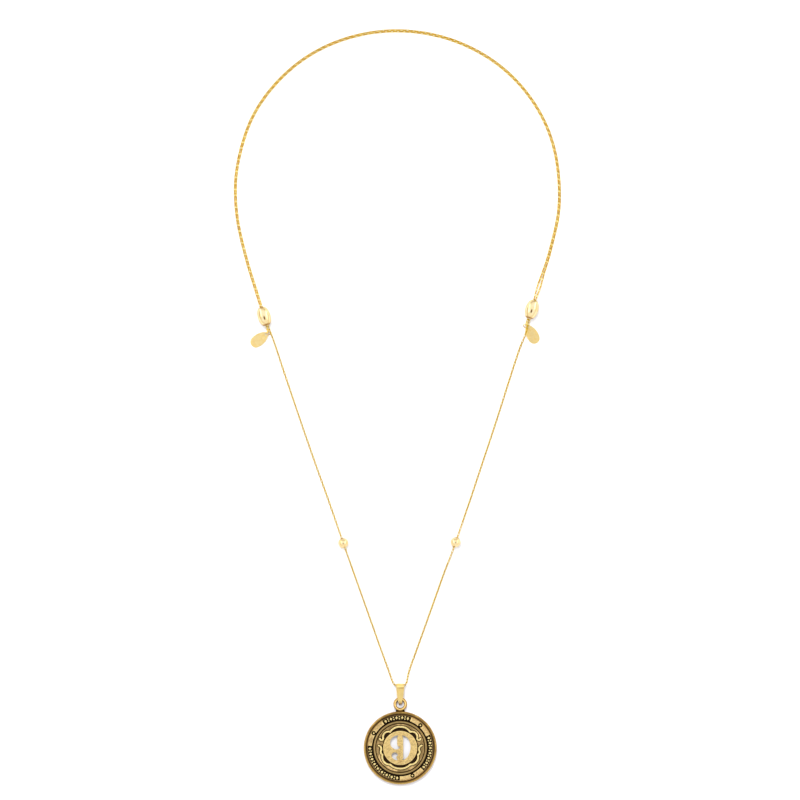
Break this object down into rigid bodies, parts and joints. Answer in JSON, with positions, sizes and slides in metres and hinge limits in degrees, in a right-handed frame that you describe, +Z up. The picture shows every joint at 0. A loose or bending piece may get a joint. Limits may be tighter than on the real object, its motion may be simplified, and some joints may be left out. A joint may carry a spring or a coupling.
{
  "type": "number necklace",
  "caption": "Long fine chain worn double round the neck, with sliding beads, tags and a round cast medallion with a pierced numeral, lying flat.",
  "frame": {"origin": "centre of the medallion's flat back, which lies on the surface", "axes": "+Y from the medallion to the neck, +Z up out of the medallion's face, +X to the right as seen from above"},
  "size_m": [0.1147, 0.2642, 0.0045],
  "materials": {
    "polished_gold": "polished gold plate",
    "satin_gold": "satin gold plate",
    "antique_gold": "satin cast gold plate with dark patina in the recesses"
  },
  "bodies": {
    "root": {"chain_outer": "polished_gold", "chain_inner": "polished_gold", "slider_bead_left": "polished_gold", "slider_bead_right": "polished_gold", "stopper_bead_left": "polished_gold", "stopper_bead_right": "polished_gold", "end_link_left": "polished_gold", "end_link_right": "polished_gold", "tag_ring_left": "polished_gold", "tag_ring_right": "polished_gold", "tag_left": "satin_gold", "tag_right": "satin_gold", "bail": "satin_gold", "medallion": "antique_gold"}
  },
  "joints": []
}
